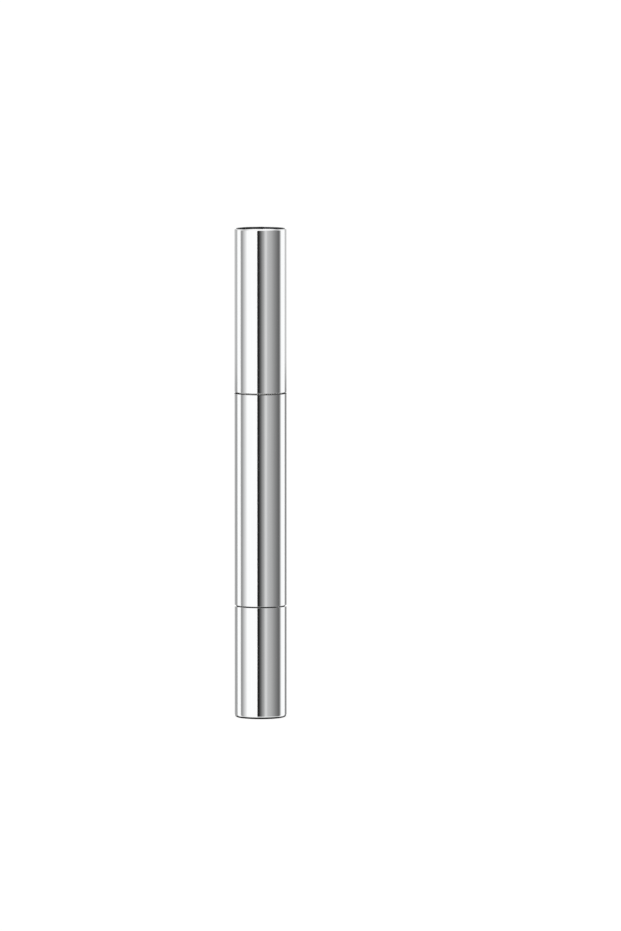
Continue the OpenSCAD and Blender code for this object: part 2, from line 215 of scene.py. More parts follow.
@dataclass(frozen=True)
class DrawnMetal(Finish):
    """Drawn aluminium tube, with faint lines along it from drawing and a soft ripple from polishing.

    Real drawing lines are a few hundredths of a millimetre wide; these are as coarse as they need to show.
    """

    colour: str = "#F4F5F5"
    shade: str = "#EFF0F1"
    gloss: Pair = (0.035, 0.06)
    line_mm: float = 0.22
    line_stretch: float = 90
    ripple_mm: float = 7
    ripple_stretch: float = 3
    ripple_depth_mm: float = 0.004

    def settings(self, tree: NodeTree) -> dict:
        """Adds the metal's nodes: lines in the gloss, and a ripple in the reflections.

        Args:
            tree: The material's node tree.

        Returns:
            The shader's inputs by name.
        """
        lines = self.noise(tree, self.line_mm, self.line_stretch)
        ripple = self.noise(tree, self.ripple_mm, self.ripple_stretch, detail=1)
        return {
            "Base Color": self.tint(tree, lines, self.colour, self.shade),
            "Metallic": 1.0,
            "Roughness": self.spread(tree, lines, *self.gloss),
            "Normal": self.bump(tree, ripple, self.ripple_depth_mm),
        }


@dataclass(frozen=True)
class MouldedPlastic(Finish):
    """Injection-moulded plastic: fine grain of the mould, a slow drift of tone, a little light let in.

    A mould's real grain is under 0.05 mm wide; this one is as coarse as it needs to show.
    """

    colour: str
    shade: str
    gloss: Pair = (0.3, 0.4)
    ior: float = 1.49
    flow_mm: float = 4
    flow_stretch: float = 2
    grain_mm: float = 0.15
    grain_depth_mm: float = 0.002
    scatter: float = 0
    scatter_mm: float = 0.8
    scatter_reach: Triple = (1.0, 1.0, 0.9)
    clear: float = 0

    def settings(self, tree: NodeTree) -> dict:
        """Adds the plastic's nodes: drift of tone, uneven gloss, grain, scatter and clearness.

        Args:
            tree: The material's node tree.

        Returns:
            The shader's inputs by name.
        """
        flow = self.noise(tree, self.flow_mm, self.flow_stretch, detail=2)
        grain = self.noise(tree, self.grain_mm)
        return {
            "Base Color": self.tint(tree, flow, self.colour, self.shade),
            "Roughness": self.spread(tree, grain, *self.gloss),
            "IOR": self.ior,
            "Normal": self.bump(tree, grain, self.grain_depth_mm),
            "Subsurface Weight": self.scatter,
            "Subsurface Radius": self.scatter_reach,
            "Subsurface Scale": self.scatter_mm * MM,
            "Alpha": 1 - self.clear,
        }


@dataclass(frozen=True)
class NylonFibre(Finish):
    """Extruded nylon fibre: smooth and satin. A streak is wider than a fibre, and sets its shade apart."""

    colour: str = "#FAFBFA"
    shade: str = "#EEF0EF"
    roughness: float = 0.38
    ior: float = 1.53
    streak_mm: float = 0.16
    streak_stretch: float = 60

    def settings(self, tree: NodeTree) -> dict:
        """Adds the fibres' nodes: streaks of tone along them.

        Args:
            tree: The material's node tree.

        Returns:
            The shader's inputs by name.
        """
        streaks = self.noise(tree, self.streak_mm, self.streak_stretch, detail=1)
        return {
            "Base Color": self.tint(tree, streaks, self.colour, self.shade),
            "Roughness": self.roughness,
            "IOR": self.ior,
        }


# Aluminium sleeve, drawn, polished and clear anodised: a mirror that bends a little along the tube.
MIRROR = DrawnMetal("aluminium polished and anodised")
# The sleeve's inside, its cut rims and its mouth's rounding past a tilt: dull, and darker than drawn
# aluminium is, which is painted shade: it shows as a dark line at seams and rims.
DULL_METAL_PAINTED_SHADE = DrawnMetal(
    "aluminium dull with painted shade", "#46484A", "#3A3C3E", gloss=(0.35, 0.5), ripple_depth_mm=0.01
)
# Polypropylene without pigment, moulded in a polished mould: milky and see-through, with a soft gloss.
NATURAL_PP = MouldedPlastic(
    "polypropylene natural moulded",
    "#ECF0EF", "#E6EAE9", gloss=(0.18, 0.26), grain_depth_mm=0.001, clear=0.64,
)
# The same plastic where it is thick: whiter, and less see-through.
NATURAL_THICK = replace(
    NATURAL_PP, name="polypropylene natural thick", colour="#FEFEFD", shade="#FAFAF8", clear=0.12
)
# The same plastic where a sealing bead presses on it: painted whiter and less see-through, painted light
# for the brighter line round the collar.
NATURAL_PAINTED_LIGHT = replace(
    NATURAL_PP, name="polypropylene natural painted light line", colour="#FAFBFA", shade="#F2F4F3", clear=0.4
)
# Extruded tube of the same plastic: a little milkier.
NATURAL_TUBE = MouldedPlastic(
    "polypropylene natural extruded",
    "#D5D9D7", "#CED2D0", gloss=(0.25, 0.35), grain_depth_mm=0.001, clear=0.5,
)
# White polypropylene, moulded: a clean satin white that glows a little at its thin edges.
WHITE_PP = MouldedPlastic("polypropylene white moulded", "#ECEDEC", "#E6E8E7", scatter=0.5)
# The same plastic where it is pressed on the clear collar, painted pure white: painted light for the
# brighter line seen there.
WHITE_PAINTED_LIGHT = replace(
    WHITE_PP, name="polypropylene white painted light line", colour="#FFFFFF", shade="#FBFBFA"
)
# Soft white polyethylene of the seal: duller and slightly creamy.
WHITE_PE = MouldedPlastic(
    "polyethylene white moulded",
    "#F8F8F6", "#F3F3F0", gloss=(0.4, 0.5), scatter=0.6, scatter_mm=1.2,
)
# Grey acetal of the bearing pieces, moulded: dense, slippery and evenly satin.
GREY_ACETAL = MouldedPlastic("acetal grey moulded", "#73767A", "#6A6D71", gloss=(0.32, 0.42), ior=1.48)
# Black acetal of the spring, moulded: the same satin, nearly black.
BLACK_ACETAL = MouldedPlastic("acetal black moulded", "#1A1A1C", "#151517", gloss=(0.3, 0.42), ior=1.48)
# Matt near-black on the cup's foot arc and base: painted contact shadow, the dark line on which the pen
# stands.
# It is rough, and its low IOR keeps it dark at a slant too.
FOOT_PAINTED_SHADOW = MouldedPlastic("foot painted contact shadow", "#0C0C0D", "#121213", gloss=(0.85, 0.95), ior=1.2)
# Nitrile rubber of the ring, pressed: dull black with a fine bloom.
NITRILE = MouldedPlastic(
    "nitrile rubber pressed",
    "#121213", "#1B1B1C", gloss=(0.55, 0.75), ior=1.52, grain_depth_mm=0.004,
)
# Nylon fibres, extruded and cut: a soft white bundle with fine streaks.
NYLON = NylonFibre("nylon fibre extruded")
# The bundle's root, where the fibres are melted into one slice: glossy and a shade darker.
NYLON_MELT = MouldedPlastic("nylon fused", "#E6E7E4", "#DCDDDA", gloss=(0.2, 0.3), ior=1.53, scatter=0.5)


# Shapes.


@dataclass(frozen=True)
class Extent:
    """Where a CAD node is: its outer radius and its lowest and highest level."""

    radius: float
    low: float
    high: float

    @classmethod
    def of(cls, node: str) -> "Extent":
        """Reads a CAD node's extent from the frame, in millimetres."""
        low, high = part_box(node)
        return cls((high.y - low.y) / 2 / MM, low.z / MM, high.z / MM)


@dataclass(frozen=True)
class Corner:
    """A corner of a turned piece's half section. The finish is that of the wall that runs on from it."""

    r: float
    z: float
    rounding: float = 0.0
    finish: int = 0


@dataclass(frozen=True)
class Turned:
    """A turned or moulded round piece: a closed half section spun round the pen's axis.

    Walls that meet at `straight` degrees or more get no arc. Walls over `long_wall` get a level `guard`
    from both ends. A corner within `axis_r` of the axis is one point.
    """

    corners: tuple[Corner, ...]
    sides: int = 256
    arc_step: float = 15.0
    straight: float = 175.0
    guard: float = 0.03
    long_wall: float = 0.18
    axis_r: float = 0.003

    def rounded(self) -> list[Corner]:
        """Rounds the corners that have a rounding.

        Returns:
            The section with an arc in place of each rounded corner.
        """
        made: list[Corner] = []
        count = len(self.corners)
        for i, corner in enumerate(self.corners):
            before, after = self.corners[i - 1], self.corners[(i + 1) % count]
            here = Vector((corner.r, corner.z))
            back, ahead = Vector((before.r, before.z)) - here, Vector((after.r, after.z)) - here
            room = min(back.length, ahead.length) / 2  # An arc takes up to half of a wall.
            angle = back.angle(ahead)
            if corner.rounding <= 0 or angle > radians(self.straight):
                made.append(corner)
                continue
            tangent = min(corner.rounding / tan(angle / 2), room)
            radius = tangent * tan(angle / 2)
            back.normalize(), ahead.normalize()
            centre = here + (back + ahead).normalized() * radius / sin(angle / 2)
            start = here + back * tangent - centre
            sweep = (pi - angle) * (1 if back.cross(ahead) < 0 else -1)
            steps = max(2, ceil(abs(degrees(sweep)) / self.arc_step))
            finish = min(before.finish, corner.finish)
            for k in range(steps + 1):
                turn = sweep * k / steps
                x = start.x * cos(turn) - start.y * sin(turn)
                y = start.x * sin(turn) + start.y * cos(turn)
                made.append(Corner(centre.x + x, centre.y + y, 0, corner.finish if k == steps else finish))
        return made

    def guarded(self) -> list[Corner]:
        """Adds a level just inside both ends of each long wall, so that its shading stays straight.

        Returns:
            The rounded section with the extra levels.
        """
        section, made = self.rounded(), []
        for here, after in zip(section, section[1:] + section[:1]):
            made.append(here)
            length = hypot(after.r - here.r, after.z - here.z)
            if length > self.long_wall:
                for share in (self.guard / length, 1 - self.guard / length):
                    r, z = here.r + (after.r - here.r) * share, here.z + (after.z - here.z) * share
                    made.append(Corner(r, z, 0, here.finish))
        return made

    def spin(self, bm: BMesh) -> None:
        """Spins the section into a bmesh.

        Args:
            bm: The bmesh that gets the faces.
        """
        section = self.guarded()
        turns = [2 * pi * k / self.sides for k in range(self.sides)]
        rings = []
        for corner in section:
            spots = turns if corner.r > self.axis_r else [0.0]
            r, z = corner.r * MM, corner.z * MM
            rings.append([bm.verts.new((r * cos(a), r * sin(a), z)) for a in spots])
        for corner, low, high in zip(section, rings, rings[1:] + rings[:1]):
            if len(low) == len(high) == 1:
                continue
            for k in range(self.sides):
                n = (k + 1) % self.sides
                around = [low[k % len(low)], low[n % len(low)], high[n % len(high)], high[k % len(high)]]
                face = bm.faces.new(list(dict.fromkeys(around)))
                face.material_index = corner.finish
                face.smooth = True


def finish_mesh(name: str, bm: BMesh, finishes: list[Finish], sharp: float = 32) -> Mesh:
    """Turns a bmesh into a mesh with its finishes and sharp edges.

    Args:
        name: The mesh's name.
        bm: The filled bmesh, which is freed.
        finishes: The finishes that the faces' numbers stand for.
        sharp: Angle in degrees from which an edge stays sharp.

    Returns:
        The new mesh.
    """
    bmesh.ops.recalc_face_normals(bm, faces=bm.faces[:])
    mesh = bpy.data.meshes.new(name)
    bm.to_mesh(mesh)
    bm.free()
    for finish in finishes:
        mesh.materials.append(finish.material())
    mesh.set_sharp_from_angle(angle=radians(sharp))
    return mesh


def add_object(name: str, data: bpy.types.ID) -> Object:
    """Adds an object to the scene.

    Args:
        name: Its name.
        data: Its mesh, lamp or camera.

    Returns:
        The new object.
    """
    made = bpy.data.objects.new(name, data)
    bpy.context.scene.collection.objects.link(made)
    return made


def place(mesh: Mesh, body: Body, slot: Slot, *nodes: str) -> Object:
    """Puts a new piece on its body in place of CAD nodes.

    Args:
        mesh: The piece's mesh, in the row frame.
        body: The body that it rides on.
        slot: The record's material slot for it; not used.
        nodes: The CAD nodes that it stands for.

    Returns:
        The new piece.
    """
    piece = add_object(mesh.name, mesh)
    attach(piece, body.value)
    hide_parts(*nodes)
    return piece


def turn_piece(
    name: str, section: Turned, finishes: list[Finish], body: Body, slot: Slot, *nodes: str
) -> Object:
    """Makes a turned piece.

    Args:
        name: The piece's name.
        section: Its half section.
        finishes: The finishes that the section's numbers stand for.
        body: The body that it rides on.
        slot: The record's material slot for it; not used.
        nodes: The CAD nodes that it stands for.

    Returns:
        The new piece.
    """
    bm = bmesh.new()
    section.spin(bm)
    return place(finish_mesh(name, bm, finishes), body, slot, *nodes)


def dress(node: str, finish: Finish) -> Object:
    """Gives a CAD node that stays in view its finish.

    Args:
        node: The CAD node's name.
        finish: Its finish.

    Returns:
        The CAD node's object.
    """
    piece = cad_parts[node]
    for slot in piece.material_slots:
        slot.material = finish.material()
    return piece


# Sub-assemblies.


@dataclass
class Sleeve:
    """A thin polished metal sleeve, open at one or both ends, dull inside and where it is cut, with painted
    shade there.

    Its foot and its mouth are polished up to a tilt in degrees, and its inside down to a depth.
    """

    node: str
    wall: float = 0.4
    edge: float = 0.08
    foot_round: float = 0.0
    polished_foot: float = 27.0
    mouth_round: float = 0.0
    polished_mouth: float = 12.0
    polished_inside: float = 0.0
    arc_steps: int = 18

    def section(self) -> Turned:
        """Gives the sleeve's half section; one with a foot rounding is a cup.

        Returns:
            The section, with its zones as finishes.
        """
        at = Extent.of(self.node)
        inner = at.radius - self.wall
        rim = [Corner(at.radius, at.high, self.edge)]
        if self.mouth_round:
            rim = self.arc(at, Zone.DULL_PAINTED_SHADE)
        rim.append(Corner(inner, at.high, self.edge, Zone.DULL_PAINTED_SHADE))
        if self.polished_inside:
            rim[-1] = Corner(inner, at.high, self.edge)
            rim.append(Corner(inner, at.high - self.polished_inside, 0, Zone.DULL_PAINTED_SHADE))
        if self.foot_round:
            floor = at.low + self.wall
            foot = [Corner(0, at.low, 0, Zone.FOOT), *self.arc(at, Zone.FOOT)]
            rim += [
                Corner(inner, floor, self.foot_round - self.wall, Zone.DULL_PAINTED_SHADE),
                Corner(0, floor, 0, Zone.DULL_PAINTED_SHADE),
            ]
        else:
            foot = [Corner(inner, at.low, self.edge), Corner(at.radius, at.low, self.edge)]
        return Turned((*foot, *rim), arc_step=7.5)

    def arc(self, at: Extent, zone: Zone) -> list[Corner]:
        """Gives the outer rounding of the sleeve's foot or mouth, polished up to some tilt.

        Args:
            at: The sleeve's extent.
            zone: The zone of the rest of the arc: the painted contact shadow at the foot, or the dull zone
                with painted shade at the mouth.

        Returns:
            The arc's points in the section's order: outwards at the foot, inwards at the mouth.
        """
        level, way, rounding, polished_to = at.high, 1, self.mouth_round, self.polished_mouth
        if zone is Zone.FOOT:
            level, way, rounding, polished_to = at.low, -1, self.foot_round, self.polished_foot
        made = []
        for tilt in [90 * k / self.arc_steps for k in range(self.arc_steps + 1)][::way]:
            r = at.radius - rounding * (1 - cos(radians(tilt)))
            z = level - way * rounding * (1 - sin(radians(tilt)))
            made.append(Corner(r, z, 0, zone if tilt > polished_to else Zone.POLISHED))
        return made

    def build(self, name: str, body: Body) -> Object:
        """Makes the sleeve under this name, on the body that it rides on."""
        # A cup's third finish is the foot's painted contact shadow.
        finishes = [MIRROR, DULL_METAL_PAINTED_SHADE] + ([FOOT_PAINTED_SHADOW] if self.foot_round else [])
        return turn_piece(name, self.section(), finishes, body, Slot.METAL, self.node)


@dataclass
class KnobAssembly:
    """The turning knob: a polished cup over its core, with the click spring and the rubber ring."""

    foot_round: float = 0.85

    def build(self) -> list[Object]:
        """Makes the cup and dresses what it holds.

        Returns:
            The knob's pieces.
        """
        cup = Sleeve("knob_shell", foot_round=self.foot_round).build("knob_cup", Body.KNOB)
        inner = (("knob_core", GREY_ACETAL), ("click_pawl", BLACK_ACETAL), ("damping_ring", NITRILE))
        return [cup, *(dress(node, finish) for node, finish in inner)]


@dataclass
class BarrelAssembly:
    """The barrel: a polished sleeve over the clear oil tube with its collar, and the seal in the neck."""

    mouth_round: float = 0.13
    # The oil tube with its collar and mouth bead, its seat rings, and bands of painted light where sealing
    # beads press on it.
    bore_r: float = 4.3
    tube_r: float = 5.15
    collar_r: float = 4.8
    bead_r: float = 4.93
    bead_h: float = 1.6
    ring_h: float = 2.0
    ring_drop: float = 0.3
    edge: float = 0.15
    pressed_h: float = 0.3
    # The seal and the feed tube.
    seal_chamfer: float = 0.25
    feed_hole_r: float = 1.22
    feed_hole_edge: float = 0.05
    feed_wall: float = 0.45

    def build(self) -> list[Object]:
        """Makes the sleeve, the oil tube, the seal and the feed tube, and dresses the tail.

        Returns:
            The barrel's pieces.
        """
        tail = (("tail_bush", GREY_ACETAL), ("ratchet_ring", GREY_ACETAL), ("screw_nut", WHITE_PP))
        return [
            Sleeve("barrel_shell", mouth_round=self.mouth_round).build("barrel_sleeve", Body.BARREL),
            self.oil_tube(),
            self.seal(),
            self.feed_tube(),
            *(dress(node, finish) for node, finish in tail),
        ]

    def oil_tube(self) -> Object:
        """Makes the oil tube with its seat rings, wide band, collar and mouth bead.

        Returns:
            The oil tube.
        """
        at, rim = Extent.of("reservoir"), Extent.of("barrel_shell").high
        band_top = Extent.of("neck_seal").high
        seat_top = rim - self.ring_drop
        middle = (at.low + seat_top) / 2
        corners = [Corner(self.bore_r, at.low), Corner(at.radius, at.low, self.edge)]
        for top in (at.low + self.ring_h, middle + self.ring_h, seat_top):
            foot = top - self.ring_h
            if len(corners) > 2:  # The first ring stands on the tube's own foot.
                corners += [Corner(self.tube_r, foot, self.edge), Corner(at.radius, foot, self.edge)]
            corners += [Corner(at.radius, top, self.edge), Corner(self.tube_r, top, self.edge)]
        finishes = [NATURAL_THICK, NATURAL_PP, NATURAL_PAINTED_LIGHT]
        clear, pressed = finishes.index(NATURAL_PP), finishes.index(NATURAL_PAINTED_LIGHT)
        half_edge = self.edge / 2
        corners += [
            Corner(self.tube_r, band_top, self.edge),
            Corner(self.collar_r, band_top, half_edge, clear),
        ]
        for level in (Extent.of("nozzle").low + rise for rise in BrushHead.beads):
            # Where each bead presses on the collar, a band of painted light.
            corners += [
                Corner(self.collar_r, level - self.pressed_h / 2, 0, pressed),
                Corner(self.collar_r, level + self.pressed_h / 2, 0, clear),
            ]
        corners += [
            Corner(self.collar_r, at.high - self.bead_h, half_edge, clear),
            Corner(self.bead_r, at.high - self.bead_h + half_edge, half_edge, clear),
            Corner(self.bead_r, at.high, self.edge, clear),
            Corner(self.bore_r, at.high, self.edge, clear),
            Corner(self.bore_r, band_top),
        ]
        section = Turned(tuple(corners), arc_step=12)
        return turn_piece(
            "oil_tube_and_collar", section, finishes, Body.BARREL, Slot.NATURAL, "reservoir"
        )

    def seal(self) -> Object:
        """Makes the white seal that closes the oil chamber round the feed tube.

        Returns:
            The seal.
        """
        at = Extent.of("neck_seal")
        section = Turned((
            Corner(self.feed_hole_r, at.low, self.feed_hole_edge),
            Corner(at.radius, at.low, self.seal_chamfer),
            Corner(at.radius, at.high, self.seal_chamfer),
            Corner(self.feed_hole_r, at.high, self.feed_hole_edge),
        ))
        return turn_piece("neck_seal_plug", section, [WHITE_PE], Body.BARREL, Slot.WHITE, "neck_seal")

    def feed_tube(self) -> Object:
        """Makes the thin tube that feeds the brush.

        Returns:
            The feed tube.
        """
        at = Extent.of("feed_tube")
        bore, edge = at.radius - self.feed_wall, self.feed_wall / 4
        levels = ((bore, at.low), (at.radius, at.low), (at.radius, at.high), (bore, at.high))
        section = Turned(tuple(Corner(r, z, edge) for r, z in levels), sides=96)
        return turn_piece(
            "feed_tube_drawn", section, [NATURAL_TUBE], Body.BARREL, Slot.NATURAL, "feed_tube"
        )


@dataclass
class BrushHead:
    """The nozzle with its skirt, and the round brush that stands in it."""

    # The nozzle.
    skirt_r: float = 4.1
    skirt_bore_r: float = 3.3
    skirt_edges: Pair = (0.1, 0.15)
    shoulder_edges: Pair = (0.06, 0.05)
    cone_foot_r: float = 3.88
    cone_top_r: float = 2.91
    bore_r: float = 2.35
    taper: Pair = (0.6, 4.1)
    taper_rounds: Pair = (0.4, 0.6)
    mouth_round: float = 0.2
    bead_h: float = 0.6
    bead_edges: Pair = (0.05, 0.12)
    beads: Pair = (0.6, 3.9)
    # The fibres, a little thicker than real ones, so that they show.
    count: int = 1500
    fibre_d: float = 0.105
    fibre_sides: int = 5
    fibre_tip: Pair = (0.3, 0.7)
    steps: int = 8
    fan_power: float = 1.25
    bow: float = 0.035
    # Their root in the fused slice.
    root_r: float = 2.19
    root_depth: float = 0.2
    slice_h: float = 1.0
    slice_gap: float = 0.02
    slice_edge: float = 0.1
    # Their tips: fan, slanting cut, rounded rim, tufts and strays.
    widening: float = 0.133
    lean: float = 0.26
    cut: float = 0.92
    cut_start: float = -0.3
    rim_drop: float = 0.8
    rim_power: int = 8
    ragged: float = 0.16
    tufts: int = 46
    tuft_turn: float = 1.0
    tuft_pull: float = 0.12
    tuft_spread: Pair = (0.6, 1.3)
    stray_share: float = 0.025
    stray_out: Pair = (0.02, 0.1)
    stray_drop: float = 0.5
    seed: int = 11

    def build(self) -> list[Object]:
        """Makes the nozzle and the brush, dresses the ferrule, and gives these pieces."""
        return [self.nozzle(), self.brush(), dress("brush_root", WHITE_PP)]

    def nozzle(self) -> Object:
        """Makes the nozzle: a cone on a skirt with two sealing beads.

        Returns:
            The nozzle.
        """
        at, collar_top = Extent.of("nozzle"), Extent.of("reservoir").high
        finishes = [WHITE_PP, WHITE_PAINTED_LIGHT]
        pressed = finishes.index(WHITE_PAINTED_LIGHT)
        inner_edge, outer_edge = self.skirt_edges
        corners = [
            Corner(self.skirt_bore_r, at.low, inner_edge),
            Corner(self.skirt_r, at.low, outer_edge),
        ]
        half = self.bead_h / 2
        foot_edge, bead_edge = self.bead_edges
        for level in (at.low + rise for rise in self.beads):
            corners += [
                Corner(self.skirt_r, level - half, foot_edge),
                # The bead's face against the collar wears painted light.
                Corner(at.radius, level - half / 2, bead_edge, pressed),
                Corner(at.radius, level + half / 2, bead_edge),
                Corner(self.skirt_r, level + half, foot_edge),
            ]
        corners += [
            Corner(self.skirt_r, collar_top, self.shoulder_edges[0]),
            Corner(self.cone_foot_r, collar_top, self.shoulder_edges[1]),
            Corner(self.cone_top_r, at.high, self.mouth_round),
            Corner(self.bore_r, at.high, self.mouth_round),
            Corner(self.bore_r, collar_top + self.taper[1], self.taper_rounds[1]),
            Corner(self.skirt_bore_r, collar_top + self.taper[0], self.taper_rounds[0]),
        ]
        section = Turned(tuple(corners), arc_step=12)
        return turn_piece("nozzle_moulding", section, finishes, Body.BARREL, Slot.WHITE, "nozzle")

    def spiral(self, count: int, radius: float, turn: float = 0.0) -> list[Vector]:
        """Spreads places evenly over a disc, on a sunflower's spiral.

        Args:
            count: Number of places.
            radius: The disc's radius.
            turn: How far the spiral is turned, in radians.

        Returns:
            The places, from the middle outwards.
        """
        spots = []
        for k in range(count):
            out, angle = radius * sqrt((k + 0.5) / count), k * GOLDEN_ANGLE + turn
            spots.append(Vector((out * cos(angle), out * sin(angle))))
        return spots

    def fibre_line(self, place_in: Vector, tip: Vector, bend: Vector, levels: Triple) -> list[Vector]:
        """Gives a fibre's centre line: straight in the nozzle, then fanning out to its tip.

        Args:
            place_in: The fibre's place in the nozzle.
            tip: Its place at the tip.
            bend: How far its middle bows to the side.
            levels: The levels of its foot, of the nozzle's mouth and of its tip.

        Returns:
            The points of the line, upwards.
        """
        foot, mouth, top = levels
        line = [Vector((*place_in, foot))]
        for k in range(self.steps + 1):
            t = k / self.steps
            side = place_in + (tip - place_in) * t**self.fan_power + bend * sin(pi * t)
            line.append(Vector((*side, mouth + (top - mouth) * t)))
        return line

    def brush(self) -> Object:
        """Makes the brush: evenly spread fibres, drawn together in small tufts, on a fused slice.

        Returns:
            The brush.
        """
        at, mouth = Extent.of("bristles"), Extent.of("nozzle").high
        chance = random.Random(self.seed)
        tip_r = self.root_r * (1 + self.widening)
        tufts = self.spiral(self.tufts, tip_r, self.tuft_turn)
        slice_top = at.low + self.slice_h
        foot = slice_top - self.root_depth
        bm = bmesh.new()
        for i, place_in in enumerate(self.spiral(self.count, self.root_r)):
            tip = place_in * (1 + self.widening)
            tuft = min(tufts, key=lambda spot: (spot - tip).length)
            tip = tip.lerp(tuft, self.tuft_pull * chance.uniform(*self.tuft_spread))
            top = at.high - self.drop_at(tip, tip_r) - chance.uniform(0, self.ragged)
            if chance.random() < self.stray_share:
                tip *= 1 + chance.uniform(*self.stray_out)
                top -= chance.uniform(0, self.stray_drop)
            tip += Vector((self.lean, 0))
            bend = Vector((chance.gauss(0, self.bow), chance.gauss(0, self.bow)))
            line = self.fibre_line(place_in, tip, bend, (foot, mouth, top))
            self.add_fibre(bm, line, i * GOLDEN_ANGLE)
        finishes = [NYLON, NYLON_MELT]
        melt, slice_r = finishes.index(NYLON_MELT), self.bore_r - self.slice_gap
        fused = Turned((
            Corner(0, at.low, 0, melt),
            Corner(slice_r, at.low, self.slice_edge, melt),
            Corner(slice_r, slice_top, self.slice_edge, melt),
            Corner(0, slice_top, 0, melt),
        ), sides=96)
        fused.spin(bm)
        mesh = finish_mesh("brush_fibres", bm, finishes, sharp=60)
        return place(mesh, Body.BARREL, Slot.FIBRE, "bristles")

    def drop_at(self, spot: Vector, tip_r: float) -> float:
        """Gives how far the brush's tip is cut back at a place.

        Args:
            spot: The place across the brush, before the lean.
            tip_r: The brush's radius at its tip.

        Returns:
            The drop: a slant on the left, and a rounded rim all round.
        """
        start = self.cut_start * tip_r
        slant = self.cut * max(0.0, (start - spot.x) / (tip_r + start))
        return max(slant, self.rim_drop * (spot.length / tip_r) ** self.rim_power)

    def add_fibre(self, bm: BMesh, line: list[Vector], turn: float) -> None:
        """Adds one fibre with a closed foot and a rounded tip.

        Args:
            bm: The bmesh that gets it.
            line: Its centre line in millimetres.
            turn: How far its section is turned, in radians.
        """
        half = self.fibre_d / 2
        top = line[-1]
        inset, narrowing = self.fibre_tip
        rings = [(point, half) for point in line[:-1]]
        rings.append((top - Vector((0, 0, half)), half))
        rings.append((top - Vector((0, 0, half * inset)), half * narrowing))
        made = []
        for point, r in rings:
            ring = []
            for k in range(self.fibre_sides):
                a = turn + 2 * pi * k / self.fibre_sides
                ring.append(bm.verts.new((point + Vector((r * cos(a), r * sin(a), 0))) * MM))
            made.append(ring)
        for low, high in zip(made, made[1:]):
            for k in range(self.fibre_sides):
                n = (k + 1) % self.fibre_sides
                bm.faces.new((low[k], low[n], high[n], high[k])).smooth = True
        bm.faces.new(made[0][::-1])
        end = bm.verts.new(top * MM)
        for k in range(self.fibre_sides):
            bm.faces.new((made[-1][k], made[-1][(k + 1) % self.fibre_sides], end)).smooth = True


@dataclass
class CapAssembly:
    """The cap: a polished sleeve over a white liner that grips the collar, and a disc as its top."""

    # The liner, from its mouth over the grip zone and the stop to its roof.
    mouth_r: float = 5.25
    mouth_play: float = 0.4
    grip_r: float = 4.98
    stop_play: float = 0.1
    bore_r: float = 4.4
    liner_r: float = 5.4
    shoulder_h: float = 1.1
    ring_h: float = 1.5
    ring_slope: float = 0.25
    roof_t: float = 0.7
    edge: float = 0.12
    # The sleeve's lip and the disc in it.
    lip_round: float = 0.32
    lip_inside: float = 0.08
    disc_edge: float = 0.03
    disc_bevel: float = 0.1
    disc_lift: float = 0.02

    def build(self) -> list[Object]:
        """Makes the sleeve, the liner and the disc.

        Returns:
            The cap's pieces.
        """
        sleeve = Sleeve(
            "cap_shell",
            mouth_round=self.lip_round,
            polished_mouth=90,
            polished_inside=self.lip_inside,
        )
        return [sleeve.build("cap_sleeve", Body.CAP), self.liner(), self.disc()]

    def liner(self) -> Object:
        """Makes the liner with its mouth, grip zone, stop shoulder and seat rings.

        Returns:
            The liner.
        """
        at = Extent.of("cap_liner")
        mouth_step = Extent.of("neck_seal").high + self.mouth_play
        stop = Extent.of("reservoir").high + self.stop_play
        shoulder = stop + self.shoulder_h
        ring = (shoulder + at.high - self.ring_h) / 2
        outside = (
            (self.mouth_r, at.low),
            (at.radius, at.low),
            (at.radius, shoulder),
            (self.liner_r, shoulder + self.ring_slope),
            (self.liner_r, ring),
            (at.radius, ring),
            (at.radius, ring + self.ring_h),
            (self.liner_r, ring + self.ring_h),
            (self.liner_r, at.high - self.ring_h),
            (at.radius, at.high - self.ring_h),
            (at.radius, at.high),
        )
        inside = (
            (self.bore_r, at.high - self.roof_t),
            (self.bore_r, stop),
            (self.grip_r, stop),
            (self.grip_r, mouth_step),
            (self.mouth_r, mouth_step),
        )
        outer, inner = ([Corner(r, z, self.edge) for r, z in part] for part in (outside, inside))
        axis = (Corner(0, at.high), Corner(0, at.high - self.roof_t))
        section = Turned((*outer, *axis, *inner), sides=192)
        return turn_piece("cap_liner_moulding", section, [WHITE_PP], Body.CAP, Slot.WHITE, "cap_liner")

    def disc(self) -> Object:
        """Makes the polished disc that closes the cap's top.

        Returns:
            The disc.
        """
        at = Extent.of("cap_end_disc")
        top = at.high + self.disc_lift
        section = Turned((
            Corner(0, at.low),
            Corner(at.radius, at.low, self.disc_edge),
            Corner(at.radius, top, self.disc_bevel),
            Corner(0, top),
        ))
        return turn_piece("cap_disc_polished", section, [MIRROR], Body.CAP, Slot.METAL, "cap_end_disc")


@dataclass
class FeedMechanism:
    """The screw and the piston that it drives up the oil chamber."""

    def build(self) -> list[Object]:
        """Dresses the screw and the piston, and gives both."""
        return [dress("lead_screw", WHITE_PP), dress("piston", WHITE_PE)]


# Studio.


@dataclass(frozen=True)
class Card:
    """A tall card that only reflections see, standing on a ring round the pen.

    Its stops are pairs of an angle in degrees, 0 towards the camera and positive to the right, and a grey.
    Its upper part, which the cap mirrors, may be faded towards pale paper.
    """

    name: str
    stops: tuple[tuple[float, str], ...]
    top_fade: float = 0.0

    def columns(self, step: float = 2.0) -> list[Pair]:
        """Spreads the stops into even columns.

        Args:
            step: Widest column in degrees.

        Returns:
            Pairs of an angle in degrees and a linear brightness.
        """
        made = []
        for (start, first), (end, second) in zip(self.stops, self.stops[1:]):
            count = max(1, ceil((end - start) / step))
            low, high = (linear(grey)[0] ** (1 / GAMMA) for grey in (first, second))
            for k in range(count):
                tone = (low + (high - low) * k / count) ** GAMMA
                made.append((start + (end - start) * k / count, tone))
        return [*made, (self.stops[-1][0], linear(self.stops[-1][1])[0])]


BLACK, WHITE = "#202020", "#FFFFFF"
